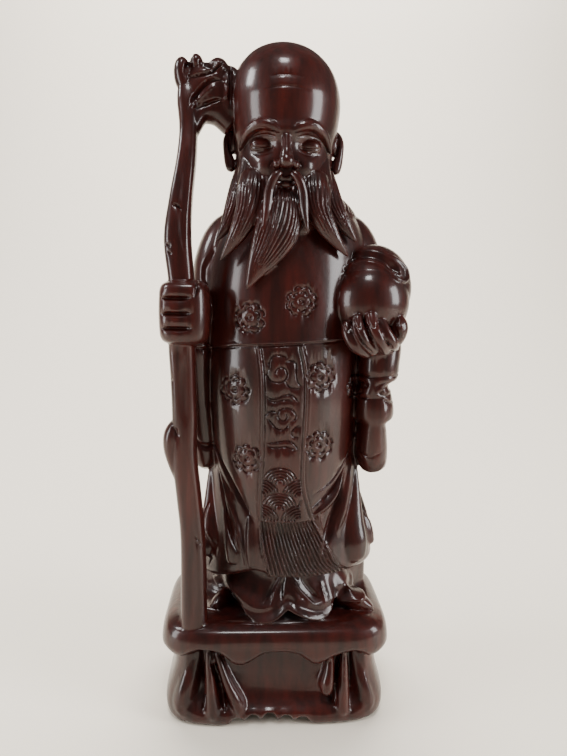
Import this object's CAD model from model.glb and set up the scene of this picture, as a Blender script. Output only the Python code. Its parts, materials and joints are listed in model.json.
# A carved hardwood figure of an old sage of long life, cut with his staff and his stand from
# one block, stained dark and lacquered. Sizes are in millimetres until a mesh is placed.

import json
import math
import random

import bpy
import numpy as np
from mathutils import Matrix, Vector

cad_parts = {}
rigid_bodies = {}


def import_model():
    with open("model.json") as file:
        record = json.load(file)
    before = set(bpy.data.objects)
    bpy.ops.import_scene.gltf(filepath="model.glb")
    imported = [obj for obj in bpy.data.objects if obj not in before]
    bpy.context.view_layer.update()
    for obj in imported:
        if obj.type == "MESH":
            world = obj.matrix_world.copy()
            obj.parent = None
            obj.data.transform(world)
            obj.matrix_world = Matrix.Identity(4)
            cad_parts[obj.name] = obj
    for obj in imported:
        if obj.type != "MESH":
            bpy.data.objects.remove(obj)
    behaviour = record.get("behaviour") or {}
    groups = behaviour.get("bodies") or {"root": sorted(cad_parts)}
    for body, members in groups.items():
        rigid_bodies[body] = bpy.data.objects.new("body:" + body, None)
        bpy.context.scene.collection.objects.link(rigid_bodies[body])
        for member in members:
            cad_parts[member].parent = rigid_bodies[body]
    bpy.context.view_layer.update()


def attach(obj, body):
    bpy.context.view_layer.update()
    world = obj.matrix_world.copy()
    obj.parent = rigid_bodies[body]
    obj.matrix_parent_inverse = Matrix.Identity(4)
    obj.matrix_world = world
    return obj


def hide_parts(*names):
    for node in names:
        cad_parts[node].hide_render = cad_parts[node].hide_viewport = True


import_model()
bpy.ops.object.select_all(action="DESELECT")

MM = 0.001

# Driving heights
SLAB_BOTTOM = 54
SLAB_TOP = 92
HEM = 136
BELT = 341
NECK = 470
CROWN = 590

# Stain of the wood, as linear colours
DARK_STAIN = (0.007, 0.0016, 0.0012)
MID_STAIN = (0.021, 0.0032, 0.0023)
RED_STAIN = (0.060, 0.0068, 0.0042)

LACQUER = {"Specular IOR Level": 0.15, "Roughness": 0.42, "Coat Weight": 0.55, "Coat Roughness": 0.16}

# The pale floor and the room's light, as linear colours
FLOOR_COLOUR = (0.86, 0.78, 0.66, 1)
FLOOR_BEND = {"from": 450, "radius": 1500}
ROOM_COLOUR = (1, 0.96, 0.9, 1)
ROOM_STRENGTH = 0.14

# Lamps: name, place and aim in metres, size and power
LAMPS = [
    ("ceiling_front", (-0.08, -0.75, 2.0), (0, 0, 0.35), (0.35, 0.35), 15),
    ("ceiling_left", (-1.4, -0.05, 1.5), (0, 0, 0.35), (0.4, 0.4), 14),
    ("window_right", (1.5, -0.65, 0.75), (0, 0, 0.3), (0.6, 1.0), 32),
    ("window_left", (-1.5, -0.55, 0.55), (0, 0, 0.3), (0.5, 1.0), 19),
]
BACKDROP_LAMP = ("over_backdrop", (0, 1.1, 2.3), (0, 1.4, 0.3), (2.5, 1.2), 120)

# Fineness of the carving's skin, in millimetres
STAND_GRAIN = 1.6
ROBE_GRAIN = 1.15
STAFF_GRAIN = 0.9
HEAD_GRAIN = 0.52
HAND_GRAIN = 0.7
MOST_TRIANGLES = 196000

# Closing the joins: the size of a sliver, in millimetres, and how many passes it takes
SEAM_SLIVER = 0.03
SEAM_PASSES = 4

# The stand and the slab: height, middle x, middle y, half width and half depth
STAND_ROWS = [
    (0, 0, 0, 97, 66),
    (3, 0, 0, 100.5, 69.5),
    (12, 0, 0, 102, 71),
    (22, 0, 0, 100.5, 69.5),
    (34, 0, 0, 97, 66),
    (46, 0, 0, 94.5, 63),
    (66, 0, 0, 93, 61),
]
SLAB_ROWS = [
    (SLAB_BOTTOM, 0, 0, 98, 62),
    (57, 0, 0, 102.5, 67),
    (64, 0, 0, 105, 70),
    (74, 0, 0, 105, 70),
    (82, 0, 0, 103.5, 68.5),
    (88, 0, 0, 100, 65),
    (SLAB_TOP, 0, 0, 93, 57),
]
SQUARENESS = 5

# The slab's cloud edge as x and the height of its underside
CLOUD_EDGE = [
    (-98, 62),
    (-84, 61),
    (-71, 69),
    (-63, 70),
    (-50, 67),
    (-39, 57.5),
    (-32, 55.5),
    (-25, 57.5),
    (-13, 65.5),
    (2.5, 68),
    (20, 65),
    (31, 56.5),
    (35, 55.5),
    (41, 57),
    (51, 62.5),
    (65, 66.5),
    (75, 65),
    (83, 59.5),
    (98, 60),
]

# The small arches under the stand: where they start and end along x, and their heights
LIP_EDGES = [-41, -27.5, -13, 2, 16, 31]
LIP_TOPS = [7, 10, 12, 9, 7]

# The hollow in the stand's front: half width, soft edge, foot and depth
RECESS = {"half": 68, "edge": 10, "low": 14, "depth": 9}

# Folds at the stand's front corners: top and foot as x and z, with the foot's half width
CORNER_FOLDS = [
    {"top": (-61, 68), "foot": (-56, 6), "half": 7},
    {"top": (-54, 66), "foot": (-33, 11), "half": 6.5},
    {"top": (49, 66), "foot": (45, 29), "half": 7},
    {"top": (61, 68), "foot": (60, 9), "half": 6.5},
]

# The sharp fans outside them and the gaps between them, as x, z, half width and height
FANS = [
    [(-68, 65, 2, 0.5), (-73, 48, 7, 3), (-79, 30, 11, 5), (-83, 14, 12, 4)],
    [(69, 63, 2, 0.5), (73, 46, 6, 3), (78, 28, 9, 4.5), (82, 13, 10, 3.5)],
]
FOLD_GAPS = [
    [(-59, 60, 1.5, -2), (-50, 34, 2.5, -3.5), (-45, 14, 2.5, -3)],
    [(-65, 60, 1.5, -2), (-64, 34, 2, -3), (-65, 12, 2, -2)],
    [(55, 62, 1.5, -2), (53, 40, 2.5, -3.5), (52.5, 16, 2.5, -3)],
    [(67, 60, 1.5, -2), (68, 34, 2, -3), (68, 12, 2, -2)],
]

# Robe forms: height, middle x, middle y, half width and half depth
UNDER_ROBE_ROWS = [
    (84, 8, -1, 69, 59.5),
    (90, 8, -1, 68.5, 59),
    (98, 8, -1, 65, 55),
    (108, 8, 0, 60, 49),
    (122, 8, 0, 55, 43),
    (152, 8, 0, 54, 42),
]
UNDER_ROBE_CORE = [(84, 8, 0, 50, 38), (120, 8, 0, 50, 38)]
UNDER_ROBE_X, UNDER_ROBE_HALF = 8, 67

# The under-robe's scalloped edge: height by angle from the front
UNDER_ROBE_EDGE = [
    (-180, 92),
    (-90, 108),
    (-64, 112),
    (-52, 113),
    (-44, 110),
    (-37, 102),
    (-30, 95.5),
    (-23, 91.5),
    (-17, 91),
    (-11, 93),
    (-5, 97.5),
    (1, 102.5),
    (5, 101.5),
    (10, 98.5),
    (17, 94),
    (24, 92),
    (30, 93),
    (37, 95.5),
    (44, 101),
    (60, 106),
    (90, 104),
    (180, 92),
]

# The back drape, the skirt and what is above them, as the under-robe's rows
BACK_DRAPE_ROWS = [
    (86, 8, 24, 84, 35),
    (100, 8, 24, 83, 34),
    (120, 9, 24, 82, 33),
    (144, 10, 24, 82, 33),
]
SKIRT_ROWS = [
    (HEM - 1, 9, 0, 79, 56.5),
    (HEM + 1.5, 9, 0, 82, 59),
    (HEM + 6, 9.5, 0, 83.5, 60),
    (160, 9, 0, 80, 58.5),
    (180, 8, 0, 75, 55),
    (205, 7.5, 0, 71, 54),
    (230, 7.5, 0, 69, 54.5),
    (262, 6, 0, 66, 56),
]
BELLY_ROWS = [
    (168, 5, 0, 38, 53),
    (182, 5, 0, 50, 57.5),
    (205, 5, 0, 60, 60.5),
    (230, 5, 0, 66.5, 62.5),
    (255, 5, 0, 70, 64),
    (290, 4, 0, 72, 65.5),
    (320, 3, 0, 72, 65),
    (BELT + 4, 3, 0, 71, 64),
]
COAT_ROWS = [
    (BELT - 2, 3, 0, 71, 64),
    (BELT, 3, 0, 73.2, 66.2),
    (BELT + 3, 3, 0, 73.8, 66.6),
    (352, 3, 0, 73.5, 66),
    (380, 4, 0, 74, 65),
    (410, 6, 0, 72, 61),
    (430, 8, 1, 69, 55),
    (446, 8.5, 2, 62, 48),
    (459, 8.5, 3, 52, 42),
    (NECK, 7, 4, 40, 36),
    (486, 3, 3, 27, 28),
]
BELT_LINE = [
    (-180, 338),
    (-60, 335),
    (-32, 338.5),
    (0, 341),
    (24, 343),
    (60, 344),
    (180, 338),
]
COLLAR_ROWS = [
    (449, 8.5, 2.5, 59, 46),
    (452, 8.5, 3, 60.5, 48),
    (464, 8, 3.5, 51.5, 44),
    (473, 6, 4, 41, 37.5),
    (478, 5, 4, 35, 33),
]

# The hem's height over HEM, by angle from the front
HEM_LINE = [
    (-180, 0),
    (-90, -7),
    (-60, -10),
    (-38, -3),
    (-22, 4),
    (-9, 1),
    (45, -1),
    (70, -3),
    (90, -3),
    (180, 0),
]

# Puffs of cloth at the hem: angle from the front, height and half width, with their lift
SKIRT_PUFFS = [
    ([(-84, 236, 3), (-74, 204, 7), (-65, 176, 12), (-60, 156, 15), (-59, 141, 11)], 5),
    ([(-52, 205, 3), (-43, 180, 7), (-37, 158, 9), (-35, 143, 7)], 3),
    ([(70, 234, 3), (63, 204, 7), (54, 178, 12), (49, 158, 15), (48, 140, 10)], 6),
    ([(86, 196, 3), (84, 176, 6), (81, 158, 8), (79, 144, 6)], 2),
]
PUFF_FLATNESS = 0.6

# Folds cut into the skirt as x, z, half width and height
SKIRT_FOLDS = [
    [(-67, 272, 2, -1), (-60, 251, 3, -3), (-54, 236, 4, -4), (-46.5, 221.5, 4.5, -4.5),
     (-38, 206.5, 4.5, -4.5), (-29.5, 194, 4, -4), (-22, 183, 2.5, -2.5)],
    [(-57, 228, 1.5, 1), (-52.5, 216.5, 2.2, 2.5), (-46.5, 201, 2.5, 3), (-38, 184, 2.5, 3),
     (-31, 160, 2.5, 2.5), (-28, 143, 2, 2)],
    [(-58, 224, 2, -1.5), (-55, 212, 3, -3), (-49.5, 196, 3.5, -3.5), (-41, 177, 3.5, -3.5),
     (-35, 156, 3, -3)],
    [(-26, 194, 3, 1), (-25, 168, 4.5, 2), (-24.5, 143, 4, 2)],
    [(-60, 192, 2, -1.5), (-61, 170, 3.5, -3), (-58, 152, 4, -3), (-54, 134, 3, -2)],
    [(67, 250, 1, -0.8), (60, 234, 1.5, -1.6), (50.5, 221.5, 1.6, -1.8), (41.5, 215.5, 1.5, -1.6),
     (28, 209.5, 1, -0.8)],
    [(62, 230, 2, -1.5), (52, 213, 3, -3), (41, 204, 3, -3), (28, 197, 2.5, -2)],
    [(61, 222, 2.5, 1.5), (53, 207, 4, 3), (43, 197, 4.5, 3), (32, 190.5, 4, 2.5), (26, 188, 3, 1)],
    [(62, 226, 2.5, -1.5), (56, 202, 4.5, -5), (48, 182, 5.5, -5.5), (43, 168, 5, -4.5), (38, 152, 4, -3)],
    [(68, 236, 3, 2), (65, 212, 5, 3), (60, 190, 6, 3), (53, 172, 5, 2)],
    [(36, 197, 3, 1), (34.5, 184, 5, 3), (38, 171, 4, 2)],
    [(76, 198, 1.4, 1), (78, 184, 1.6, 1.6), (82, 168, 1.6, 1.8), (90, 148, 1.6, 1.6)],
    [(80, 196, 2, -1.5), (82, 182, 2.5, -3), (88, 166, 2.5, -3)],
]

# Folds of the under-robe, of the sleeves and of the coat, in the same way
UNDER_FOLDS = [
    [(4, 133, 2, -1), (-3, 120, 2.5, -2), (-11, 107, 2.5, -1.5)],
    [(7, 133, 1.4, 1), (0, 118, 1.6, 1.6), (-5, 104, 1.4, 1)],
    [(8, 132, 1.5, -1), (5, 118, 2, -2), (5, 107, 2, -2)],
    [(13, 133, 1.6, 1), (19, 117, 2.2, 2), (33, 103, 2, 1)],
    [(22, 130, 2, -1.5), (28, 117, 2.5, -2), (38, 107, 2, -1.5)],
    [(39, 122, 1.6, 1), (40, 106, 2, 1.2)],
]
SLEEVE_FOLDS = [
    [(-66, 330, 3, -1.5), (-70, 300, 4, -2.5), (-66, 262, 3, -2)],
    [(-75, 300, 3, 1.5), (-76, 262, 3, 2), (-72, 232, 3, 1)],
    [(-52, 430, 3, -1), (-62, 405, 4, -2), (-64, 384, 3, -1.5)],
    [(78, 340, 3, -3), (77, 315, 4, -5), (78, 290, 4, -5), (77, 270, 3, -3)],
    [(104, 309, 1.6, 1), (97, 309, 1.8, 2), (90, 301, 1.8, 2), (85, 296, 1.5, 1)],
    [(101, 303, 2, -2), (94, 300, 2.5, -3), (88, 293, 2, -2)],
    [(84, 300, 1.6, 1), (82.5, 289, 2, 2.5), (86, 278, 2, 2.5), (93, 273, 2, 2), (100, 273, 1.6, 1)],
    [(89, 300, 2, -1.5), (88, 289, 3, -3), (93, 281, 2.5, -2)],
    [(87, 264, 1.4, 1), (82.5, 256, 1.8, 2.4), (81, 246, 1.8, 2.6), (83, 235, 1.8, 2.4), (89, 229, 1.4, 1)],
    [(91, 264, 4, -3), (88, 252, 5.5, -6), (88, 242, 5.5, -6), (91, 234, 4, -3)],
]

# The long panel: height, left edge and right edge
PANEL_EDGES = [
    (BELT + 1, -22, 17),
    (322, -18.5, 21.5),
    (300, -17, 23),
    (260, -17, 22.3),
    (222, -17.5, 22),
    (200, -18, 27),
    (184, -17.5, 33),
    (160, -15, 46),
    (HEM - 1, -9, 61),
]
PANEL_PROUD = 1.6
FRINGE_TOP = 186
FRINGE_STRANDS = 19
PANEL_BORDER = 4

# The patterns cut into the panel, as x and z: two scrolled clouds, wisps of mist, and rows
# of waves with their middles and the step from ring to ring
CLOUDS = [
    [(-9.4, 321), (-11.5, 318.5), (-11.8, 315.5), (-9.7, 312), (-7, 310.2), (-3, 309.5), (1, 310.4),
     (3.7, 312.8), (4.7, 316.2), (3.2, 320.4), (-0.2, 322.2), (-3.5, 320.7), (-5, 317.5), (-3, 314.5)],
    [(-9.4, 321.5), (-10.3, 324.4), (-9.5, 328), (-7.5, 330.8), (-3.3, 332), (1.3, 331.3), (4.7, 329)],
    [(3, 326), (6.4, 327.5), (9.8, 326.8), (12, 324), (11.8, 318), (12.6, 312), (14.8, 307.8), (17, 306)],
    [(3, 311), (5.5, 306.8), (9.3, 304.8), (15.3, 304.8)],
    [(-2.3, 280.5), (-2.5, 283.2), (-1.3, 286.3), (2, 287.8), (6.3, 288), (10, 286),
     (12.3, 282), (11.6, 278.6), (8.2, 276.8)],
    [(-2.5, 283), (-2.3, 280.5), (-0.3, 278), (2.2, 277.2), (4.5, 279), (5, 281.7), (3, 283.2)],
    [(-13.5, 281), (-10.6, 284), (-6.8, 285.4), (-3.4, 284.5)],
    [(-11, 279), (-8, 276), (-5.3, 272.5), (-2.3, 270), (1.3, 269.5), (4.8, 271.3), (6.7, 274.6)],
    [(16.5, 272), (13.9, 272.6), (10.9, 270.5), (9.2, 267), (11, 263.3), (15, 263.3)],
]
WISPS = [
    [(-11.6, 298.2), (-7.8, 295.6), (-2.7, 296.5), (2, 298.7), (7, 299.6), (11.2, 297), (14.2, 292.8)],
    [(-11.2, 296), (-8.2, 293.8), (-4, 293.3), (1, 294.8), (5.3, 295), (9.6, 293.6)],
    [(-10.4, 258.3), (-6, 258), (-2, 259), (3, 260), (7.5, 259.7), (11.6, 257), (14.8, 252)],
    [(-11, 256.2), (-8, 254), (-1, 254.2), (4, 254.7), (9.2, 253.4), (12.8, 251.3)],
]
WAVE_ROWS = [
    (222.5, [0.5]),
    (211, [-14, 16.5]),
    (199.5, [0.5, 30]),
    (188, [-14, 16.5]),
]
WAVE = {"radius": 13.6, "rings": 5, "step": 2.6, "left": -14.3, "right": 18.4}

# Flowers on the robe: x, z and the turn of the first petal
FLOWERS = [
    (-27, 362, 20),
    (15, 376, 65),
    (-39, 301, 5),
    (33, 314, 40),
    (71, 302, 80),
    (33, 255, 15),
    (-28, 242, 50),
]
FLOWER_HEART = 3.2

# Rings of petals: their number, how far out their middles are, and their radius
PETAL_RINGS = [
    (5, 5.4, 3),
    (8, 9.2, 3.6),
]

SHOES = [
    [(56, -20, 99, 11, 12), (68, -28, 101, 11, 12), (80, -33, 96, 9, 9), (91, -36, 92, 3, 4)],
    [(-46, -14, 96, 9, 9), (-53, -24, 94, 8, 8), (-58, -33, 91, 5, 5)],
]

# Arms and sleeves
RIGHT_ARM = [
    (-26, 10, 448, 13, 15),
    (-47, 7, 434, 19, 23),
    (-59, 3, 408, 19, 27),
    (-62, 0, 380, 18, 27),
    (-66, -14, 366, 16, 22),
    (-76, -40, 365, 13, 15),
]
LEFT_ARM = [
    (38, 10, 448, 14, 15),
    (62, 7, 434, 21, 23),
    (75, 3, 408, 20, 27),
    (80, 0, 378, 20, 27),
    (85, -16, 356, 19, 21),
    (84, -38, 345, 15, 15),
]
RIGHT_SLEEVE_ROWS = [
    (220, -67, -2, 4, 12),
    (226, -67, -4, 9.5, 21),
    (250, -67.5, -6, 13, 25),
    (290, -71, -8, 13, 27),
    (330, -73, -12, 15, 29),
    (362, -73, -18, 15, 26),
]
LEFT_SLEEVE_ROWS = [
    (224, 86, -20, 8, 15),
    (229, 86, -21, 12.5, 22),
    (243, 85, -22, 14.5, 25),
    (264, 84.5, -22, 13, 26),
    (270, 84.5, -22, 12.5, 26),
    (274, 85, -22, 17.5, 27),
    (283, 85, -22, 18.5, 27),
    (298, 84, -22, 16, 27),
    (305, 84, -22, 13.2, 27),
    (309, 87, -22, 18, 27),
    (322, 88, -22, 19, 27),
    (340, 89, -20, 19.5, 26),
    (357, 87, -16, 18, 23),
]

# The staff, from foot to head: x, y, z, half width and half thickness
STAFF = [
    (-74, -50, 68, 12, 12),
    (-74, -50, 130, 11.2, 11.5),
    (-75, -50, 175, 10.5, 11),
    (-78, -50, 208, 10.5, 11),
    (-81.5, -50, 245, 10.5, 11),
    (-81, -50, 275, 10.5, 11),
    (-82, -50, 310, 10.5, 11),
    (-83, -50, 340, 11, 11.5),
    (-83, -50, 388, 10.5, 11),
    (-86, -49, 424, 11, 11),
    (-84, -44, 455, 9.5, 10),
    (-80, -36, 490, 8, 9.5),
    (-79, -29, 515, 7.5, 10),
    (-80, -24, 540, 9, 12),
    (-82, -22, 562, 9, 11),
]
STAFF_KNOT = [
    (-84, -50, 277, 4, 6),
    (-90, -51, 264, 8, 9),
    (-92.5, -51, 252, 7, 9),
    (-90, -50, 236, 5.5, 8),
    (-85, -50, 220, 4, 6),
]
ROOT_LOBE = [
    (-81, -23, 571, 5, 6),
    (-84.5, -24, 566, 6.5, 9),
    (-84, -24, 555, 6.5, 9),
    (-79, -24, 545, 5, 8),
]
ROOT_HEAD = [
    ((-73, -23, 570), (5.5, 8, 7)),
    ((-65, -22, 547), (21, 13, 24)),
    ((-55, -22, 565), (9, 10, 10)),
    ((-46, -20, 545), (15, 12, 25)),
]
ROOT_ARCH = [
    (-79, -28, 512, 7, 9),
    (-70, -24, 530, 9, 11),
    (-56, -20, 532, 10, 11),
    (-42, -18, 522, 10, 10),
]

# Cuts in the staff and in its root head as x, z, half width and height
ROOT_CUTS = [
    [(-78, 532, 1.5, -2), (-73, 541, 2.5, -4), (-65, 550, 3, -4.5), (-58, 554.5, 2.5, -3.5),
     (-50, 555, 1.5, -2)],
    [(-77, 531, 1, 0.6), (-69, 539, 1.3, 1), (-60, 547, 1.3, 1), (-54, 551, 1, 0.6)],
    [(-50, 554, 1.2, 1), (-47, 548, 1.6, 1.8), (-47.5, 543, 1.6, 1.8), (-51, 539, 1.2, 1)],
    [(-76, 530, 1.3, -1.5), (-67, 534, 2, -3), (-58, 537.5, 2, -3), (-51, 540, 1.5, -2)],
    [(-80, 556, 1.5, -2.5), (-71, 557.5, 2.4, -4), (-62, 560, 2.4, -4), (-56, 564, 2, -4),
     (-49, 570, 1.5, -3)],
    [(-82, 558, 1.5, -1.5), (-80, 565, 2.2, -3.5), (-77.5, 571, 2, -3.5), (-76.5, 577, 1.5, -2)],
    [(-44.5, 567, 2, -3), (-44, 550, 2.5, -3.5), (-44.5, 535, 2, -3)],
    [(-70, 569, 3, -2), (-62, 566, 4, -3), (-56, 569, 2.5, -2)],
]
STAFF_CUTS = [
    [(-90, 452, 1.5, -1.5), (-85, 450, 2, -3), (-81, 446, 1.2, -1.5)],
    [(-94, 420, 1.5, -1.2), (-91, 418, 2, -2)],
    [(-93, 414, 1, -1), (-90, 412, 1.5, -1.5)],
    [(-95, 312, 2, -1.5), (-90, 309, 2, -1.5)],
    [(-74, 178, 0.8, -1), (-70, 172, 1, -1.4), (-66, 165, 0.8, -1)],
    [(-73, 172, 0.8, -0.8), (-69, 166, 1, -1.2)],
    [(-79, 500, 3, -1), (-80, 470, 4, -1.6), (-82, 440, 4, -1.6), (-80, 415, 3, -1)],
    [(-80, 330, 4, -1), (-81, 300, 5, -1.5), (-79, 270, 4, -1)],
    [(-76, 230, 4, -1), (-75, 190, 5, -1.2), (-74, 140, 5, -1.2), (-74, 100, 4, -0.8)],
    [(-86, 262, 3, -2), (-89, 270, 3, -1.5)],
]

# The fist: height, middle x, middle y, half width and half depth, and the cuts between its
# fingers
FIST_ROWS = [
    (338.5, -80, -47, 12, 13),
    (342, -80.5, -47, 18, 21),
    (350, -80.5, -47, 20.5, 23.5),
    (380, -80.5, -47, 20.5, 23.5),
    (388, -80.5, -47, 18, 21),
    (391.5, -80, -47, 12, 13),
]
FIST_CUTS = [
    [(-97.5, 376.3, 1.5, -3), (-92, 376.7, 2.4, -5.5), (-79, 376.7, 2.4, -5.5), (-72.5, 377.5, 1.5, -3)],
    [(-98, 364, 1.5, -3), (-92, 364.4, 2.4, -5.5), (-79, 364.4, 2.4, -5.5), (-72.5, 365, 1.5, -3)],
    [(-97.5, 352.2, 1.5, -3), (-92, 352.5, 2.4, -5.5), (-79, 352.5, 2.4, -5.5), (-72.5, 353, 1.5, -3)],
    [(-62, 398, 1.5, -1.5), (-61, 388, 2, -2.5), (-62, 376, 1.5, -1.5)],
    [(-70, 392, 1.5, -2), (-69, 384, 2, -2.5), (-71, 376, 1.2, -1.5)],
]

# The left hand and the peach
PALM = [(86, -30, 344, 15, 13), (80, -46, 342, 19, 11), (70, -54, 345, 17, 11)]
HAND_FINGERS = [
    [(53, -59, 360, 4.2), (54, -64, 350, 4.9), (60, -66, 340.5, 5.2), (73, -58, 333.5, 5)],
    [(60.5, -64, 366, 4.3), (62, -69, 355, 4.9), (66.5, -70, 345, 5.2), (77, -60, 335, 5)],
    [(71.5, -65, 368, 4.5), (73.5, -70.5, 356, 5.2), (79, -71, 345.5, 5.5), (87, -60, 336, 5)],
    [(79.5, -63, 363, 4), (84.5, -67, 352.5, 4.8), (90, -66, 344, 5.2), (95, -55, 339, 4.5)],
]
THUMB = [(97, -52, 364, 5, 6), (98, -58, 356, 7.3, 8), (96.5, -56, 347, 6.5, 7), (92, -45, 340, 5, 6)]
HAND_CUTS = [
    [(56.8, 360, 0.9, -1.5), (61, 349.5, 1.2, -2.5), (66.5, 341.5, 1.2, -2.5), (75, 334.5, 0.9, -1)],
    [(66.3, 361, 1.2, -2), (70.5, 350, 1.5, -3), (77, 340, 1.5, -3), (83, 335, 1, -1)],
    [(77, 361, 0.9, -1.5), (80.5, 352, 1.2, -2.5), (86, 343.5, 1.2, -2.5), (92, 338, 0.9, -1)],
]
NAILS = [
    [(50, 361, 0.7, -0.5), (50.3, 355.5, 0.8, -0.9), (53, 352.8, 0.8, -0.9), (56, 355.5, 0.8, -0.9)],
    [(57.6, 365, 0.7, -0.5), (57.8, 359, 0.8, -1), (61, 355.6, 0.8, -1), (64.2, 358.5, 0.8, -1),
     (64.4, 364, 0.7, -0.5)],
    [(68, 366.5, 0.7, -0.5), (68.8, 360, 0.8, -1), (72.4, 356.4, 0.8, -1), (76.2, 359.5, 0.8, -1),
     (76, 365.5, 0.7, -0.5)],
    [(95, 367, 1.1, 0.8), (97.5, 358, 1.3, 1.2), (99.5, 348, 1.1, 0.8)],
    [(91.5, 362, 1.6, -0.6), (93.5, 354, 2, -1), (96, 347, 1.6, -0.6)],
]
PEACH_FRONT = ((76, -38, 376.5), (34, 31, 34.5))
PEACH_BACK = ((79, -32, 387.5), (34, 29, 38))
PEACH_CUTS = [
    [(46, 400, 3, -1.5), (52, 410, 4, -3), (62, 414.5, 5, -3.5), (74, 415, 5, -3.5),
     (85, 411, 5, -4), (92, 406, 5, -5), (97, 401, 4, -4)],
    [(54, 407.5, 1, 0.3), (66, 409.6, 1, 0.5), (75, 408.6, 1, 0.5), (82, 405.6, 1, 0.6),
     (90.5, 399, 1.2, 0.8)],
    [(86, 402, 1.2, 0.6), (91, 397.6, 1.8, 1.6), (96, 394.6, 2, 2.2), (102, 394, 2.2, 2.4),
     (105.3, 398, 2.2, 2.4), (104, 405, 2.2, 2), (98, 411, 2, 1.2), (88, 416.5, 1.6, 0.6)],
]

# The head: height, middle x, middle y, half width and half depth
HEAD_ROWS = [
    (446, 0, -18, 22, 26),
    (458, 0, -16, 33, 36),
    (472, 0.5, -14, 38, 41),
    (490, 1, -13, 41, 44),
    (508, 1.5, -13, 43, 46),
    (524, 2, -13, 45.5, 48),
    (540, 2, -13, 47, 49.5),
    (553, 1.5, -12, 46, 48),
    (565, 1, -12, 42, 44),
    (575, 0.5, -11, 35.5, 37),
    (583, 0, -11, 26, 27),
    (588.2, 0, -11, 13, 14),
    (589.6, 0, -11, 4, 4),
]

# The face follows the drawing master's rules: three equal thirds from chin to hairline, and
# a head five eyes wide
CHIN = 452
HEAD_WIDTH = 96
THIRD = (CROWN - CHIN) / 5
NOSE_BASE = CHIN + THIRD
BROW = NOSE_BASE + THIRD
EYE_WIDTH = HEAD_WIDTH / 5
EYE_LINE = BROW - THIRD / 4
MOUTH = NOSE_BASE - THIRD / 3
FACE_MIDDLE = 1
FACE_FRONT = -58

# Locks of the beard: x, y, z, half width and half thickness, root to tip
CHIN_BEARD = [
    (0, -51, 464, 11.5, 6),
    (-1.5, -59, 452, 17, 8),
    (-5, -62, 434, 18.5, 7),
    (-12, -63.5, 418, 15, 6),
    (-21, -64, 402, 8.5, 4.5),
    (-28, -64, 388, 2.5, 2.5),
    (-30, -63.5, 384, 0.8, 1),
]
BEARD_BODY = [
    (1, -32, 500, 36, 8),
    (1, -37, 484, 38.5, 12),
    (1, -43, 468, 40, 14.5),
    (1, -47, 449, 34, 11),
    (-2, -52, 430, 18, 5),
]
BEARD_LOCKS = [
    [(-35, -30, 486, 5, 5), (-36, -37, 470, 8.5, 7.5), (-39, -44, 452, 9.5, 7), (-46, -47, 437, 6, 4.5),
     (-55, -47, 424, 1, 1.2)],
    [(-25, -44, 481, 9, 6), (-26, -53, 465, 12, 8), (-29, -58, 447, 10.5, 7), (-38, -59, 427, 7, 5),
     (-51, -55, 408, 1, 1.2)],
    [(37, -30, 486, 5, 5), (38, -37, 470, 8.5, 7.5), (42, -43, 453, 9.5, 7), (51, -45, 439, 6.5, 4.5),
     (62, -44, 426, 1, 1.2)],
    [(26, -44, 481, 9, 6), (26, -53, 465, 12, 8), (28, -58, 449, 10.5, 7), (38, -59, 431, 7, 5),
     (54, -53, 413, 1, 1.2)],
]

# Thin strands that have come loose at the right
STRAY_LOCKS = [
    [(33, -52, 452, 3.5, 3), (35, -54, 438, 2.6, 2.6), (41, -54, 427, 2.2, 2.2), (53, -52, 415, 0.8, 0.8)],
    [(36, -50, 446, 1.5, 2), (40, -52, 436, 2.6, 2.4), (44, -52, 426, 2, 2), (50, -51, 419, 0.8, 0.8)],
]

# The moustache, with x from the middle of the face and z from the foot of the nose
MOUSTACHE = [
    (3, -64, -3, 2.5, 2.5),
    (8.5, -65.5, -6.5, 3.6, 3.4),
    (13.2, -65, -17, 3.9, 3.4),
    (15, -65.5, -33, 3.6, 3.4),
    (18, -66, -50, 0.8, 1.2),
]

# The sections that lead round the robe, and its reach from front to side
ROBE_ROWS = UNDER_ROBE_ROWS[3:5] + SKIRT_ROWS[2:5] + BELLY_ROWS[4:7] + COAT_ROWS[3:]
ROBE_REACH = 68
BELT_X = 73

rng = random.Random(5)


def smooth(start, end, value):
    share = np.clip((value - start) / (end - start), 0, 1)
    return share * share * (3 - 2 * share)


def read(table, keys):
    """The table's values at each key, on smooth slopes between its rows, one row per key"""
    rows = np.array(table, float)
    if rows[0, 0] > rows[-1, 0]:
        rows = rows[::-1]
    keys = np.clip(np.asarray(keys, float), rows[0, 0], rows[-1, 0])
    low = np.clip(np.searchsorted(rows[:, 0], keys, side="right") - 1, 0, len(rows) - 2)
    before = rows[np.maximum(low - 1, 0)]
    start = rows[low]
    end = rows[low + 1]
    after = rows[np.minimum(low + 2, len(rows) - 1)]
    span = end[:, :1] - start[:, :1]
    t = (keys[:, None] - start[:, :1]) / span
    slope_start = (end - before) / (end[:, :1] - before[:, :1]) * span
    slope_end = (after - start) / (after[:, :1] - start[:, :1]) * span
    value = (2 * t**3 - 3 * t**2 + 1) * start + (t**3 - 2 * t**2 + t) * slope_start
    value += (3 * t**2 - 2 * t**3) * end + (t**3 - t**2) * slope_end
    return value[:, 1:]


def spots_of(piece):
    flat = np.empty(len(piece.data.vertices) * 3, np.float32)
    piece.data.vertices.foreach_get("co", flat)
    return flat.reshape(-1, 3).astype(float) / MM


def normals_of(piece):
    flat = np.empty(len(piece.data.vertices) * 3, np.float32)
    piece.data.vertex_normals.foreach_get("vector", flat)
    return flat.reshape(-1, 3).astype(float)


def set_spots(piece, spots):
    piece.data.vertices.foreach_set("co", (spots * MM).astype(np.float32).ravel())
    piece.data.update()


def section(turn, power):
    s, c = np.sin(turn), np.cos(turn)
    reach = (np.abs(s) ** power + np.abs(c) ** power) ** (-1 / power)
    return s * reach, c * reach


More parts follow.
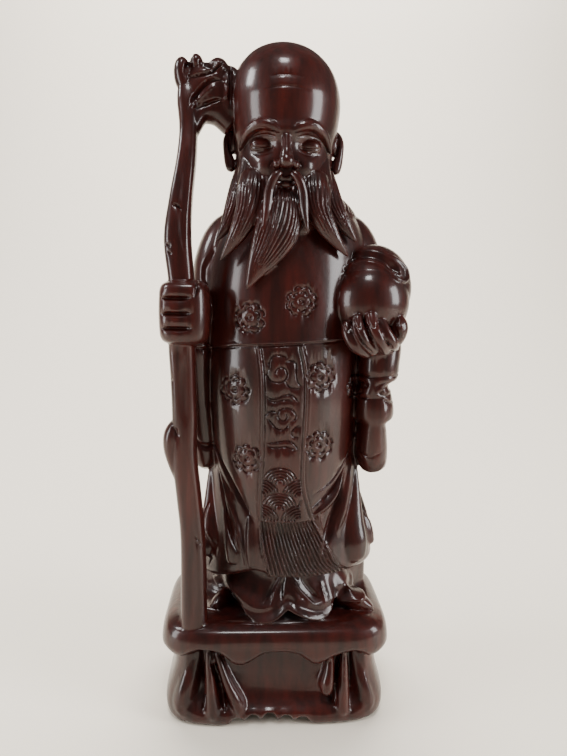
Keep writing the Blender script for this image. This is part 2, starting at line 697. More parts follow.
def skin(sides, rows, shape):
    """A closed form on a sphere's grid. shape(turn, rise) gives its points: turn in radians
    from the front towards +X, and rise from 0 at the first pole to 1 at the last"""
    bpy.ops.mesh.primitive_uv_sphere_add(segments=sides, ring_count=rows, radius=1)
    piece = bpy.context.object
    grid = spots_of(piece) * MM
    turn = np.arctan2(grid[:, 0], -grid[:, 1])
    rise = np.round(np.arccos(np.clip(-grid[:, 2], -1, 1)) / np.pi * rows) / rows
    set_spots(piece, shape(turn, rise))
    return piece


def stacked(table, sides, rows, power=2, swell=None, shift=None, pace=None):
    """A form stacked from level sections. swell(angle, z) adds to its radius, and shift(x, y,
    z) moves it up, with the angle in degrees from the front towards +X"""
    low, high = table[0][0], table[-1][0]

    def shape(turn, rise):
        share = np.clip((rise * rows - 1) / (rows - 2), 0, 1)
        z = low + (high - low) * (pace(share) if pace else share)
        x, y, half_x, half_y = read(table, z).T
        s, c = section(turn, power)
        extra = swell(np.degrees(turn), z) if swell else 0
        open_end = (rise > 0) & (rise < 1)
        x = x + open_end * (half_x + extra) * s
        y = y - open_end * (half_y + extra) * c
        if shift:
            z = z + shift(x, y, z)
        return np.column_stack([x, y, z])

    return skin(sides, rows, shape)


def unit(vectors):
    return vectors / np.linalg.norm(vectors, axis=1, keepdims=True)


def limb(stations, sides=40, rows=48, across=(1, 0, 0), power=2, strands=0, groove=0, fade=0.02):
    """A limb along a smooth line through stations of x, y, z, half width and half thickness.
    Strands are that many grooves along it, which grow over the fade's share of its length"""
    stations = np.array([s if len(s) == 5 else (*s, s[3]) for s in stations], float)
    steps = np.linalg.norm(np.diff(stations[:, :3], axis=0), axis=1)
    travel = np.concatenate([[0], np.cumsum(steps)])
    table = np.column_stack([travel, stations])
    length = travel[-1]

    def shape(turn, rise):
        share = 0.5 * rise + 0.25 * (1 - np.cos(np.pi * rise))
        at = read(table, share * length)
        step = 0.01 * length
        ahead = read(table, share * length + step) - read(table, share * length - step)
        ahead = unit(ahead[:, :3])
        side = np.array(across, float) - ahead * (ahead @ np.array(across, float))[:, None]
        side = unit(side)
        up = np.cross(ahead, side)
        end = np.minimum(share, 1 - share)
        close = np.sqrt(np.clip(1 - np.clip(1 - end / 0.06, 0, 1) ** 2, 0, 1))
        half = at[:, 3:5] * close[:, None]
        if strands:
            weave = 0.5 * np.sin(share * 8 + 5 * turn) + 0.5 * np.sin(2 * turn + 1)
            valley = 1 - np.abs(np.sin(strands * turn / 2 + weave))
            room = np.minimum(1, half.min(axis=1) / (2 * groove)) * smooth(0, fade, share)
            half = half - (groove * valley**1.3 * room)[:, None]
        s, c = section(turn, power)
        return at[:, :3] + side * (c * half[:, 0])[:, None] + up * (s * half[:, 1])[:, None]

    return skin(sides, rows, shape)


def ball(middle, half, sides=40, rows=28):
    def shape(turn, rise):
        ring = np.sin(np.pi * rise)
        way = np.column_stack([np.sin(turn) * ring, -np.cos(turn) * ring, -np.cos(np.pi * rise)])
        return np.array(middle) + way * np.array(half)

    return skin(sides, rows, shape)


def mirrored(stations):
    return [(2 * FACE_MIDDLE - x, *rest) for x, *rest in stations]


def apply_modifier(piece, kind, **settings):
    modifier = piece.modifiers.new(kind.lower(), kind)
    for name, value in settings.items():
        setattr(modifier, name, value)
    bpy.ops.object.select_all(action="DESELECT")
    piece.select_set(True)
    bpy.context.view_layer.objects.active = piece
    bpy.ops.object.modifier_apply(modifier=modifier.name)
    return piece


def fused(name, pieces, grain, passes):
    """Overlapping closed forms become one skin, its grid as fine as the grain"""
    bpy.ops.object.select_all(action="DESELECT")
    for piece in pieces:
        piece.select_set(True)
    bpy.context.view_layer.objects.active = pieces[0]
    bpy.ops.object.join()
    whole = bpy.context.object
    whole.name = name
    apply_modifier(whole, "REMESH", mode="VOXEL", voxel_size=grain * MM)
    apply_modifier(whole, "SMOOTH", factor=0.5, iterations=passes)
    return whole


def combine(whole, other):
    apply_modifier(whole, "BOOLEAN", operation="UNION", solver="MANIFOLD", object=other)
    bpy.data.objects.remove(other)


def refine(piece, wanted):
    """Splits the faces that wanted(middle, normal) picks out"""
    mesh = piece.data
    middles = np.empty(len(mesh.polygons) * 3, np.float32)
    mesh.polygons.foreach_get("center", middles)
    normals = np.empty(len(mesh.polygons) * 3, np.float32)
    mesh.polygons.foreach_get("normal", normals)
    chosen = wanted(middles.reshape(-1, 3) / MM, normals.reshape(-1, 3))
    bpy.ops.object.select_all(action="DESELECT")
    piece.select_set(True)
    bpy.context.view_layer.objects.active = piece
    bpy.ops.object.mode_set(mode="EDIT")
    bpy.ops.mesh.select_mode(type="FACE")
    bpy.ops.mesh.select_all(action="DESELECT")
    bpy.ops.object.mode_set(mode="OBJECT")
    mesh.polygons.foreach_set("select", chosen)
    bpy.ops.object.mode_set(mode="EDIT")
    bpy.ops.mesh.subdivide(number_cuts=1)
    bpy.ops.object.mode_set(mode="OBJECT")


def seen_from_front(x, y, z):
    return x


def round_the_robe(x, y, z):
    """The way round the robe from its front, in millimetres. A place without a y is on it"""
    middle_x, middle_y, half_x, half_y = read(ROBE_ROWS, z).T
    side = (x - middle_x) / half_x
    if y is None:
        return ROBE_REACH * np.arcsin(np.clip(side, -0.995, 0.995))
    return ROBE_REACH * np.arctan2(side, -(y - middle_y) / half_y)


class Carver:
    """Cuts strokes into a piece. A stroke is a line of x, z, half width and height, negative
    for a groove, with x as seen from the front"""

    def __init__(self, piece, unroll=seen_from_front):
        self.piece = piece
        self.unroll = unroll
        self.spots = spots_of(piece)
        self.normals = normals_of(piece)
        self.push = np.zeros(len(self.spots))
        facing = self.normals[:, 1] < (-0.05 if unroll is seen_from_front else 2)
        self.front = np.nonzero(facing)[0]
        self.front = self.front[np.argsort(self.spots[self.front, 2])]
        x, y, z = self.spots[self.front].T
        self.flat = np.column_stack([unroll(x, y, z), z])

    def stroke(self, points, half=1.0, height=-1.0, soft=False, taper=0.12):
        path = np.array([p if len(p) == 4 else (*p, half, height) for p in points], float)
        path[:, 0] = self.unroll(path[:, 0], None, path[:, 1])
        steps = np.linalg.norm(np.diff(path[:, :2], axis=0), axis=1)
        travel = np.concatenate([[0], np.cumsum(steps)])
        share = np.linspace(0, 1, max(5, int(travel[-1] / 0.5)))
        line = read(np.column_stack([travel, path]), share * travel[-1])
        line[:, 2:] *= np.clip(np.minimum(share, 1 - share) / taper + 0.15, 0, 1)[:, None] ** 0.7
        reach = line[:, 2].max()
        low, high = line[:, :2].min(axis=0) - reach, line[:, :2].max(axis=0) + reach
        first, last = np.searchsorted(self.flat[:, 1], [low[1], high[1]])
        across = self.flat[first:last, 0]
        inside = first + np.nonzero((across > low[0]) & (across < high[0]))[0]
        spots = self.flat[inside]
        best = np.full(len(inside), 9.0)
        lift = np.zeros(len(inside))
        for x, z, wide, rise in line:
            far = np.hypot(spots[:, 0] - x, spots[:, 1] - z) / max(wide, 0.3)
            nearer = far < best
            best[nearer] = far[nearer]
            lift[nearer] = rise
        shape = (1 - np.minimum(best, 1) ** 2) ** 2 if soft else 1 - np.minimum(best, 1) ** 1.5
        index = self.front[inside]
        value = lift * shape
        now = self.push[index]
        deepest = np.where(np.abs(value) > np.abs(now), value, now)
        self.push[index] = np.where(value * now > 0, deepest, now + value)

    def strokes(self, paths, **settings):
        for path in paths:
            self.stroke(path, **settings)

    def done(self):
        set_spots(self.piece, self.spots + self.normals * self.push[:, None])


def arc(x, z, radius, start, end, count=9):
    """Places on a round line. Angles are in degrees, anticlockwise from +X"""
    ways = np.radians(np.linspace(start, end, count))
    return [(x + radius * math.cos(way), z + radius * math.sin(way)) for way in ways]


def make_stand():
    """The waisted block and the slab over it"""
    def recess(angle, z):
        x = 70 * np.tan(np.radians(np.clip(angle, -80, 80)))
        inside = 1 - smooth(RECESS["half"] - RECESS["edge"], RECESS["half"], np.abs(x))
        inside *= np.abs(angle) < 80
        return -RECESS["depth"] * inside * smooth(RECESS["low"] - 6, RECESS["low"] + 12, z)

    def arches(x, y, z):
        front = smooth(-52, -58, y) * (1 - smooth(0, 18, z))
        rise = np.zeros_like(x)
        for low, high, top in zip(LIP_EDGES, LIP_EDGES[1:], LIP_TOPS):
            share = np.clip((x - low) / (high - low), 0, 1)
            rise = np.maximum(rise, top * np.sqrt(np.clip(1 - (2 * share - 1) ** 2, 0, 1)))
        inside = (x > LIP_EDGES[0]) & (x < LIP_EDGES[-1])
        return front * np.where(inside, np.maximum(rise, 3.5), 0)

    def cloud(x, y, z):
        edge = read(CLOUD_EDGE, x)[:, 0] - SLAB_BOTTOM
        return edge * smooth(-30, -52, y) * (1 - smooth(SLAB_BOTTOM, SLAB_BOTTOM + 26, z))

    pieces = [
        stacked(STAND_ROWS, 320, 60, power=SQUARENESS, swell=recess, shift=arches),
        stacked(SLAB_ROWS, 320, 50, power=SQUARENESS, shift=cloud),
        ball((76, -44, 81), (23, 20, 12.5)),
    ]
    for fold in CORNER_FOLDS:
        (top_x, top_z), (foot_x, foot_z), half = fold["top"], fold["foot"], fold["half"]
        pieces.append(limb([
            (top_x, -55, top_z, 2.5, 5),
            ((top_x + foot_x) / 2, -60, (top_z + foot_z) / 2, half * 0.75, 8),
            (foot_x, -63, foot_z + half, half, 9.5),
            (foot_x, -62, foot_z, half * 0.7, 7),
        ]))
    stand = fused("stand", pieces, STAND_GRAIN, 2)
    carver = Carver(stand)
    carver.strokes(FANS)
    carver.strokes(FOLD_GAPS, soft=True)
    carver.done()
    return stand


def make_robe():
    def edge_shift(x, y, z):
        angle = np.degrees(np.arctan2((x - 8) / 66, -(y + 1) / 57))
        low, high = UNDER_ROBE_ROWS[0][0], UNDER_ROBE_ROWS[-1][0]
        return (read(UNDER_ROBE_EDGE, angle)[:, 0] - low) * (high - z) / (high - low)

    def cusps(angle, z):
        inward = 6 * np.exp(-(((angle - 1) / 6) ** 2)) + 5 * np.exp(-(((angle - 50) / 8) ** 2))
        return -inward * (1 - smooth(92, 120, z))

    def back_folds(angle, z):
        behind = smooth(105, 125, np.abs(angle))
        return 3 * behind * np.cos(np.radians(6 * angle)) * (1 - smooth(150, 260, z))

    def hem_shift(x, y, z):
        angle = np.degrees(np.arctan2((x - 9) / 83, -y / 60))
        return read(HEM_LINE, angle)[:, 0] * (1 - smooth(HEM + 4, HEM + 40, z))

    def belt_shift(x, y, z):
        angle = np.degrees(np.arctan2((x - 3) / 73, -y / 66))
        return (read(BELT_LINE, angle)[:, 0] - BELT) * (1 - smooth(BELT + 2, BELT + 40, z))

    def drape_folds(angle, z):
        return 1.5 * np.cos(np.radians(9 * angle))

    pieces = [
        stacked(UNDER_ROBE_ROWS, 240, 40, swell=cusps, shift=edge_shift),
        stacked(UNDER_ROBE_CORE, 60, 10),
        stacked(BACK_DRAPE_ROWS, 200, 40, power=2.6, swell=drape_folds),
        *[limb(shoe, power=1.6) for shoe in SHOES],
        stacked(SKIRT_ROWS, 280, 80, swell=back_folds, shift=hem_shift),
        stacked(BELLY_ROWS, 240, 80),
        stacked(COAT_ROWS, 240, 110, shift=belt_shift),
        stacked(COLLAR_ROWS, 200, 30),
        limb(RIGHT_ARM, sides=60),
        limb(LEFT_ARM, sides=60),
        stacked(RIGHT_SLEEVE_ROWS, 60, 60, power=2.4),
        stacked(LEFT_SLEEVE_ROWS, 60, 90, power=2.4),
        *[make_puff(path, lift) for path, lift in SKIRT_PUFFS],
        make_panel(),
    ]
    robe = fused("robe", pieces, ROBE_GRAIN, 3)
    refine(robe, carved_front)
    carver = Carver(robe, round_the_robe)
    carver.strokes(SKIRT_FOLDS + UNDER_FOLDS + SLEEVE_FOLDS, soft=True, taper=0.3)
    carve_lip(carver)
    carve_belt(carver)
    carve_collar(carver)
    carve_panel(carver)
    for flower in FLOWERS:
        carve_flower(carver, *flower)
    carver.done()
    return robe


def make_puff(path, lift):
    stations = []
    for k, (angle, z, half) in enumerate(path):
        proud = lift * math.sin(math.pi / 2 * min(1, k / (len(path) - 2))) - half * PUFF_FLATNESS
        x, y, half_x, half_y = read(SKIRT_ROWS, [z])[0]
        way = math.radians(angle)
        x += (half_x + proud) * math.sin(way)
        y -= (half_y + proud) * math.cos(way)
        stations.append((x, y, z, half, half * PUFF_FLATNESS))
    return limb(stations)


def carved_front(middles, normals):
    """The front of the robe where patterns are cut, which needs the finest skin"""
    x, y, z = middles.T
    return (np.abs(x - 5) < 72) & (z > 128) & (z < 396) & (normals[:, 1] < -0.25) & (y < -18)


def carve_lip(carver):
    """The under-robe's scalloped edge turns out in a lip"""
    edge = []
    for angle, z in UNDER_ROBE_EDGE[2:-2]:
        x = UNDER_ROBE_X + UNDER_ROBE_HALF * math.sin(math.radians(angle))
        edge.append((x, z + 1))
    carver.stroke(edge, half=1.8, height=1.6, taper=0.05)
    hollow = [(x, z + 7) for x, z in edge]
    carver.stroke(hollow, half=5, height=-2, soft=True, taper=0.05)


def carve_belt(carver):
    rim = []
    for angle in range(-80, 81, 8):
        x = 3 + BELT_X * math.sin(math.radians(angle))
        rim.append((x, read(BELT_LINE, [angle])[0, 0] + 1.5))
    carver.stroke(rim, half=1.1, height=0.8, taper=0.02)
    carver.stroke([(x, z - 2.4) for x, z in rim], half=1.5, height=-1.6, taper=0.02)


def carve_collar(carver):
    """Slanting cuts along the collar band"""
    for start in range(-84, 85, 6):
        foot = 8.5 + 60 * math.sin(math.radians(start))
        head = 7 + 44 * math.sin(math.radians(start + 8))
        carver.stroke([(foot, 453), (head, 472)], half=0.9, height=-1)


def carve_panel(carver):
    heights = [BELT - 1 - 9 * k for k in range(23)]
    for side, inward in ((0, 1), (1, -1)):
        edge = [(read(PANEL_EDGES, [z])[0, side], z) for z in heights if z > FRINGE_TOP - 46]
        carver.stroke(edge, half=0.9, height=-1.2, taper=0.02)
        edge = [(x + inward * PANEL_BORDER / 2, z) for x, z in edge]
        carver.stroke(edge, half=1.3, height=0.7, taper=0.02)
        edge = [(x + inward * PANEL_BORDER / 2, z) for x, z in edge if z > FRINGE_TOP]
        carver.stroke(edge, half=0.9, height=-1.2, taper=0.02)
    for strand in range(FRINGE_STRANDS):
        share = (strand + 0.5) / FRINGE_STRANDS
        path = []
        for z in (FRINGE_TOP, 176, 166, 156, 146, HEM):
            left, right = read(PANEL_EDGES, [z])[0]
            path.append((left + (right - left) * share, z))
        carver.stroke(path, half=1.2, height=-2.2, taper=0.03)
    carver.strokes(CLOUDS + WISPS, half=1, height=-1.6)
    carve_waves(carver)


def carve_waves(carver):
    """Arches of rings, each row cut over the one above it"""
    for row, (middle_z, middles) in enumerate(WAVE_ROWS):
        covers = [(x, z) for z, below in WAVE_ROWS[row + 1:] for x in below]
        for middle_x in middles:
            for ring in range(WAVE["rings"]):
                run = []
                for x, z in arc(middle_x, middle_z, WAVE["radius"] - ring * WAVE["step"], 200, -20, 45):
                    free = all(math.dist((x, z), cover) > WAVE["radius"] for cover in covers)
                    if free and WAVE["left"] < x < WAVE["right"] and z > FRINGE_TOP + 1:
                        run.append((x, z))
                    else:
                        carve_run(carver, run)
                        run = []
                carve_run(carver, run)


def carve_run(carver, run):
    if len(run) > 2:
        carver.stroke(run, half=1.1, height=-1.7, taper=0.05)


def carve_flower(carver, x, z, turn):
    carver.stroke(arc(x, z, FLOWER_HEART / 2, 0, 360, 13), half=1.1, height=-1.3, taper=0.01)
    carver.stroke(arc(x, z, FLOWER_HEART + 0.6, 0, 360, 17), half=0.7, height=0.4, taper=0.01)
    for petals, away, reach in PETAL_RINGS:
        for petal in range(petals):
            way = turn + 360 * petal / petals + rng.uniform(-6, 6)
            spread = rng.uniform(65, 100)
            middle_x = x + away * math.cos(math.radians(way))
            middle_z = z + away * math.sin(math.radians(way))
            edge = arc(middle_x, middle_z, reach * rng.uniform(0.85, 1.1), way - spread, way + spread)
            carver.stroke(edge, half=1, height=-1.6)


def front_of(table, x, z):
    middle_x, middle_y, half_x, half_y = read(table, z).T
    share = np.clip((x - middle_x) / half_x, -1, 1)
    return middle_y - half_y * np.sqrt(1 - share * share)


def make_panel():
    bpy.ops.mesh.primitive_grid_add(x_subdivisions=60, y_subdivisions=160, size=1)
    piece = bpy.context.object
    apply_modifier(piece, "SOLIDIFY", thickness=0.1, offset=0)
    grid = spots_of(piece) * MM
    z = HEM - 1 + (BELT + 1 - HEM + 1) * (grid[:, 1] + 0.5)
    left, right = read(PANEL_EDGES, z).T
    x = left + (right - left) * (grid[:, 0] + 0.5)
    surface = np.minimum(front_of(BELLY_ROWS, x, z), front_of(SKIRT_ROWS, x, z))
    y = np.where(grid[:, 2] > 0, surface - PANEL_PROUD, surface + 12)
    set_spots(piece, np.column_stack([x, y, z]))
    return piece


def make_staff():
    pieces = [
        limb(STAFF, sides=64, rows=300, power=3),
        limb(STAFF_KNOT),
        limb(ROOT_ARCH, across=(0, 0, 1)),
        limb(ROOT_LOBE),
        *[ball(*knob) for knob in ROOT_HEAD],
        stacked(FIST_ROWS, 90, 60, power=3.2),
    ]
    staff = fused("staff", pieces, STAFF_GRAIN, 2)
    carver = Carver(staff)
    carver.strokes(ROOT_CUTS + STAFF_CUTS + FIST_CUTS, soft=True, taper=0.2)
    carver.done()
    return staff


def make_hand():
    pieces = [
        ball(*PEACH_FRONT, sides=90, rows=70),
        ball(*PEACH_BACK, sides=90, rows=70),
        limb(PALM),
        *[limb(finger) for finger in HAND_FINGERS],
        limb(THUMB),
    ]
    hand = fused("hand", pieces, HAND_GRAIN, 2)
    carver = Carver(hand)
    carver.strokes(PEACH_CUTS + HAND_CUTS, soft=True)
    carver.strokes(NAILS)
    carver.done()
    return hand


def make_head():
    def features(angle, z):
        """Soft sockets, brows and cheeks"""
        socket = np.exp(-(((np.abs(angle) - 25) / 13) ** 2) - ((z - EYE_LINE) / 8) ** 2)
        ridge = np.exp(-((np.abs(angle) / 42) ** 4) - ((z - BROW - 3) / 6) ** 2)
        cheek = np.exp(-(((np.abs(angle) - 27) / 14) ** 2) - ((z - NOSE_BASE - 4) / 10) ** 2)
        return 2.5 * ridge - 5 * socket + 4 * cheek

    def pace(share):
        return (share + np.sin(share * np.pi / 2)) / 2

    pieces = [stacked(HEAD_ROWS, 200, 150, pace=pace, swell=features)]
    for sign in (-1, 1):
        pieces += make_side_of_face(sign)
    pieces += [
        limb([
            (FACE_MIDDLE, FACE_FRONT + 1, BROW, 4, 3),
            (FACE_MIDDLE, FACE_FRONT - 3, EYE_LINE - 3, 3.6, 5),
            (FACE_MIDDLE, FACE_FRONT - 6, NOSE_BASE + 8, 5.5, 7),
            (FACE_MIDDLE, FACE_FRONT - 5, NOSE_BASE + 1, 5, 5),
        ]),
        ball((FACE_MIDDLE, FACE_FRONT - 8, NOSE_BASE + 4.5), (6.3, 6.5, 5.5)),
        limb([
            (FACE_MIDDLE - 10, FACE_FRONT + 1, MOUTH + 0.5, 0.8, 1),
            (FACE_MIDDLE - 4, FACE_FRONT - 2.5, MOUTH + 2.4, 2.4, 2.4),
            (FACE_MIDDLE, FACE_FRONT - 3, MOUTH + 1.8, 2, 2.4),
            (FACE_MIDDLE + 4, FACE_FRONT - 2.5, MOUTH + 2.4, 2.4, 2.4),
            (FACE_MIDDLE + 10, FACE_FRONT + 1, MOUTH + 0.5, 0.8, 1),
        ], across=(0, 0, 1)),
        limb([
            (FACE_MIDDLE - 8.5, FACE_FRONT + 1, MOUTH - 0.5, 0.8, 1),
            (FACE_MIDDLE, FACE_FRONT - 3, MOUTH - 2.6, 2.8, 3),
            (FACE_MIDDLE + 8.5, FACE_FRONT + 1, MOUTH - 0.5, 0.8, 1),
        ], across=(0, 0, 1)),
    ]
    moustache = [
        (FACE_MIDDLE + x, y, NOSE_BASE + drop, half, thick) for x, y, drop, half, thick in MOUSTACHE
    ]
    pieces += [
        limb(BEARD_BODY, sides=280, rows=110, strands=60, groove=1.5, fade=0.5),
        limb(CHIN_BEARD, sides=240, rows=140, strands=34, groove=1.9, fade=0.12),
        limb(moustache, sides=80, rows=80, strands=6, groove=0.4, fade=0.3),
        limb(mirrored(moustache), sides=80, rows=80, strands=6, groove=0.4, fade=0.3),
        *[limb(lock, sides=160, rows=120, strands=22, groove=1.5, fade=0.35) for lock in BEARD_LOCKS],
        *[limb(lock, sides=40, rows=60, strands=6, groove=0.5) for lock in STRAY_LOCKS],
    ]
    head = fused("head", pieces, HEAD_GRAIN, 1)
    carver = Carver(head)
    for sign in (-1, 1):
        carve_eye(carver, FACE_MIDDLE + sign * EYE_WIDTH, sign)
    for k in range(2):
        rise = CROWN - 50 + 9 * k
        reach = 18 - 4 * k
        brow_line = [
            (FACE_MIDDLE + x, rise + 1.5 * math.cos(x / 9)) for x in range(-reach, reach + 1, 4)
        ]
        carver.stroke(brow_line, half=1.4, height=-0.7, soft=True, taper=0.4)
    carver.done()
    return head


def make_side_of_face(sign):
    def x(offset):
        return FACE_MIDDLE + sign * offset

    return [
        ball((x(EYE_WIDTH), FACE_FRONT + 11.5, EYE_LINE), (EYE_WIDTH / 2, 7.5, 6)),
        ball((x(7), FACE_FRONT - 3, NOSE_BASE + 3), (4, 5, 3.8)),
        limb([
            (x(4), FACE_FRONT - 1, BROW + 0.5, 2, 2),
            (x(11), FACE_FRONT - 1, BROW + 5, 4, 4),
            (x(21), FACE_FRONT + 2, BROW + 7, 4.6, 4.5),
            (x(31), FACE_FRONT + 10, BROW + 2, 4, 4),
            (x(38), FACE_FRONT + 20, BROW - 10, 1, 1.5),
        ], sides=90, rows=70, across=(0, 0, 1), strands=16, groove=0.9),
        ball((x(44), -12, BROW + 3), (5.5, 6, 9)),
        limb([
            (x(42), -10, BROW + 10, 3, 4),
            (x(46.5), -11, BROW + 11.5, 3, 4.5),
            (x(49.5), -12, BROW + 5, 3, 5),
            (x(48.5), -14, BROW - 5, 3.6, 5),
            (x(46.5), -15, BROW - 13, 4.6, 5),
            (x(45), -16, NOSE_BASE + 9, 4.2, 4.5),
            (x(44), -16, NOSE_BASE + 6, 2.2, 2.5),
        ]),
    ]


def carve_eye(carver, x, sign):
    """A lowered lid: the line where it meets the lower one, and its fold"""
    lid = [(x + d, EYE_LINE - 1.5 - 2.2 * (1 - (d / 9) ** 2)) for d in (-9, -6, -3, 0, 3, 6, 9)]
    carver.stroke(lid, half=0.9, height=-1.3)
    fold = [(x + d, EYE_LINE + 6.6 - 2.6 * (d / 11) ** 2) for d in (-11, -7, -3, 0, 3, 7, 11)]
    carver.stroke(fold, half=1.1, height=-1, taper=0.3)
    under = [(x + d, EYE_LINE - 8 + 2.5 * (d / 9) ** 2) for d in (-9, -5, 0, 5, 9)]
    carver.stroke(under, half=1.4, height=-0.7, soft=True, taper=0.4)
    wing = arc(FACE_MIDDLE + sign * 8, NOSE_BASE + 3, 4.6, 90 - sign * 100, 90 - sign * 20)
    carver.stroke(wing, half=0.8, height=-0.8)
    ear = FACE_MIDDLE + sign * 46
    hollow = [(ear, BROW + 8), (ear + sign * 0.6, BROW), (ear - sign, BROW - 8)]
    carver.stroke(hollow, half=1.2, height=-1.5)


def make_wood():
    """Dark stained hardwood under lacquer, uneven where the chisel has been"""
    wood = bpy.data.materials.new("dark_lacquered_rosewood")
    wood.use_nodes = True
    nodes, links = wood.node_tree.nodes, wood.node_tree.links
    shader = nodes["Principled BSDF"]
    place = nodes.new("ShaderNodeTexCoord")

    def noise(scale, detail, stretch=(1, 1, 1)):
        mapping = nodes.new("ShaderNodeMapping")
        mapping.inputs["Scale"].default_value = stretch
        texture = nodes.new("ShaderNodeTexNoise")
        texture.inputs["Scale"].default_value = scale
        texture.inputs["Detail"].default_value = detail
        links.new(place.outputs["Object"], mapping.inputs["Vector"])
        links.new(mapping.outputs["Vector"], texture.inputs["Vector"])
        return texture.outputs["Fac"]

    def ramp(value, low, high, from_colour, to_colour):
        tone = nodes.new("ShaderNodeValToRGB")
        tone.color_ramp.elements[0].position = low
        tone.color_ramp.elements[0].color = (*from_colour, 1)
        tone.color_ramp.elements[1].position = high
        tone.color_ramp.elements[1].color = (*to_colour, 1)
        links.new(value, tone.inputs["Fac"])
        return tone.outputs["Color"]

    def bump(value, strength, distance, under=None):
        relief = nodes.new("ShaderNodeBump")
        relief.inputs["Strength"].default_value = strength
        relief.inputs["Distance"].default_value = distance
        links.new(value, relief.inputs["Height"])
        if under:
            links.new(under, relief.inputs["Normal"])
        return relief.outputs["Normal"]

    grain = noise(150, 5, (1, 1, 0.1))
    cloudy = noise(9, 3)
    stain = nodes.new("ShaderNodeMix")
    stain.data_type = "RGBA"
    links.new(ramp(cloudy, 0.35, 0.65, (0.2, 0.2, 0.2), (0.8, 0.8, 0.8)), stain.inputs["Factor"])
    links.new(ramp(grain, 0.3, 0.75, DARK_STAIN, MID_STAIN), stain.inputs["A"])
    links.new(ramp(grain, 0.3, 0.75, MID_STAIN, RED_STAIN), stain.inputs["B"])
    links.new(stain.outputs["Result"], shader.inputs["Base Color"])
    hammered = bump(noise(170, 2), 0.5, 0.0006)
    links.new(bump(grain, 0.12, 0.0003, hammered), shader.inputs["Normal"])
    for socket, value in LACQUER.items():
        shader.inputs[socket].default_value = value
    return wood


def make_stage():
    """A plain pale floor that curves up behind the figure"""
    bpy.ops.mesh.primitive_grid_add(x_subdivisions=8, y_subdivisions=60, size=6)
    floor = bpy.context.object
    floor.name = "floor"
    flat = spots_of(floor)
    y = flat[:, 1]
    start, bend = FLOOR_BEND["from"], FLOOR_BEND["radius"]
    over = np.clip(y - start, 0, None)
    turn = np.clip(over / bend, 0, math.pi / 2)
    flat[:, 2] = bend * (1 - np.cos(turn)) + np.clip(over - bend * math.pi / 2, 0, None)
    flat[:, 1] = np.minimum(y, start) + bend * np.sin(turn)
    set_spots(floor, flat)
    bpy.ops.object.select_all(action="DESELECT")
    floor.select_set(True)
    bpy.ops.object.shade_smooth()
    pale = bpy.data.materials.new("pale_floor")
    pale.use_nodes = True
    shader = pale.node_tree.nodes["Principled BSDF"]
    shader.inputs["Base Color"].default_value = FLOOR_COLOUR
    shader.inputs["Roughness"].default_value = 0.6
    floor.data.materials.append(pale)


def add_lamp(name, spot, aim, size, power):
    lamp = bpy.data.lights.new(name, "AREA")
    lamp.shape = "RECTANGLE"
    lamp.size, lamp.size_y = size
    lamp.energy = power
    holder = bpy.data.objects.new(name, lamp)
    bpy.context.collection.objects.link(holder)
    holder.location = spot
    holder.rotation_euler = (Vector(aim) - Vector(spot)).to_track_quat("-Z", "Y").to_euler()
    return holder


def make_lights():
    world = bpy.data.worlds.new("soft_room")
    world.use_nodes = True
    background = world.node_tree.nodes["Background"]
    background.inputs["Color"].default_value = ROOM_COLOUR
    background.inputs["Strength"].default_value = ROOM_STRENGTH
    bpy.context.scene.world = world
    for lamp in LAMPS:
        add_lamp(*lamp)
    add_lamp(*BACKDROP_LAMP).visible_glossy = False


# The photo's camera: picture height in pixels, focal length in those pixels, turn, tilt and
# roll in degrees, and its place in millimetres
CAMERA = {"tall": 756, "focal": 568, "turn": -3.0, "tilt": 7.8, "roll": 1.0}
CAMERA_PLACE = {"back": 528.6, "aside": 5, "height": 376.7}


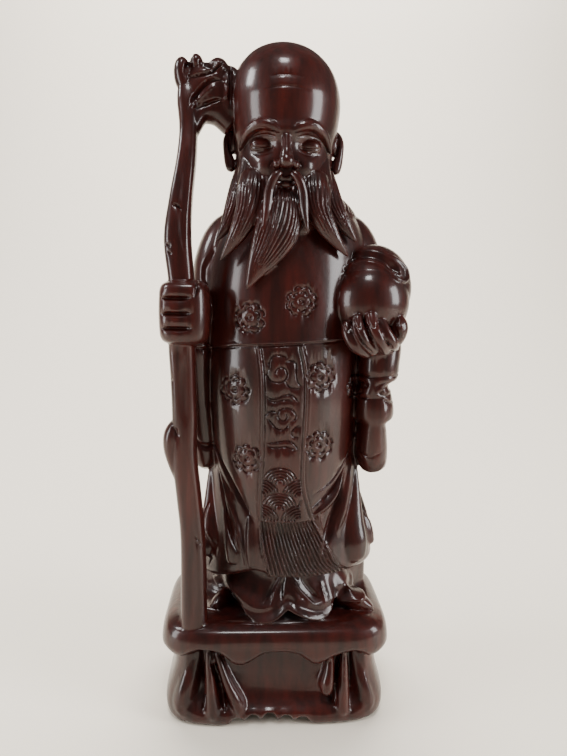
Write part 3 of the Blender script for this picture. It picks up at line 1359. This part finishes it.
def make_camera():
    turn, tilt, roll = (math.radians(CAMERA[name]) for name in ("turn", "tilt", "roll"))
    back = Vector((math.sin(turn), -math.cos(turn), 0))
    right = Vector((math.cos(turn), math.sin(turn), 0))
    ahead = -back * math.cos(tilt) + Vector((0, 0, -math.sin(tilt)))
    up = right.cross(ahead)
    spot = back * CAMERA_PLACE["back"] + right * CAMERA_PLACE["aside"]
    spot.z = CAMERA_PLACE["height"]
    wide = right * math.cos(roll) + up * math.sin(roll)
    tall = up * math.cos(roll) - right * math.sin(roll)
    camera = bpy.data.cameras.new("camera")
    camera.sensor_fit = "VERTICAL"
    camera.sensor_height = 36
    camera.lens = CAMERA["focal"] / CAMERA["tall"] * camera.sensor_height
    holder = bpy.data.objects.new("camera", camera)
    bpy.context.collection.objects.link(holder)
    turned = Matrix((wide, tall, -ahead)).transposed().to_4x4()
    holder.matrix_world = Matrix.Translation(spot * MM) @ turned
    bpy.context.scene.camera = holder


def close_seams(figure):
    """Slivers along the joins are merged, pinholes filled, and stray bits dropped"""
    bpy.ops.object.mode_set(mode="EDIT")
    bpy.ops.mesh.select_mode(type="VERT")
    for _ in range(SEAM_PASSES):
        bpy.ops.mesh.select_all(action="SELECT")
        bpy.ops.mesh.remove_doubles(threshold=SEAM_SLIVER * MM)
        bpy.ops.mesh.select_all(action="DESELECT")
        bpy.ops.mesh.select_non_manifold()
        bpy.ops.mesh.delete(type="VERT")
        bpy.ops.mesh.select_all(action="SELECT")
        bpy.ops.mesh.fill_holes(sides=0)
        bpy.ops.mesh.quads_convert_to_tris()
    bpy.ops.mesh.select_all(action="DESELECT")
    bpy.ops.object.mode_set(mode="OBJECT")
    lowest = int(np.argmin(spots_of(figure)[:, 2]))
    figure.data.vertices[lowest].select = True
    bpy.ops.object.mode_set(mode="EDIT")
    bpy.ops.mesh.select_linked()
    bpy.ops.mesh.select_all(action="INVERT")
    bpy.ops.mesh.delete(type="VERT")
    bpy.ops.object.mode_set(mode="OBJECT")


def finish_surface(figure):
    count = sum(len(face.vertices) - 2 for face in figure.data.polygons)
    apply_modifier(figure, "DECIMATE", ratio=min(1, MOST_TRIANGLES / count))
    close_seams(figure)
    figure.data.materials.clear()
    figure.data.materials.append(make_wood())
    bpy.ops.object.select_all(action="DESELECT")
    figure.select_set(True)
    bpy.context.view_layer.objects.active = figure
    bpy.ops.object.shade_smooth()


figure = make_robe()
for make_part in (make_stand, make_staff, make_hand, make_head):
    combine(figure, make_part())
figure.name = "figure_carving"
finish_surface(figure)
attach(figure, "root")
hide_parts("carved_figure")

make_stage()
make_lights()
make_camera()
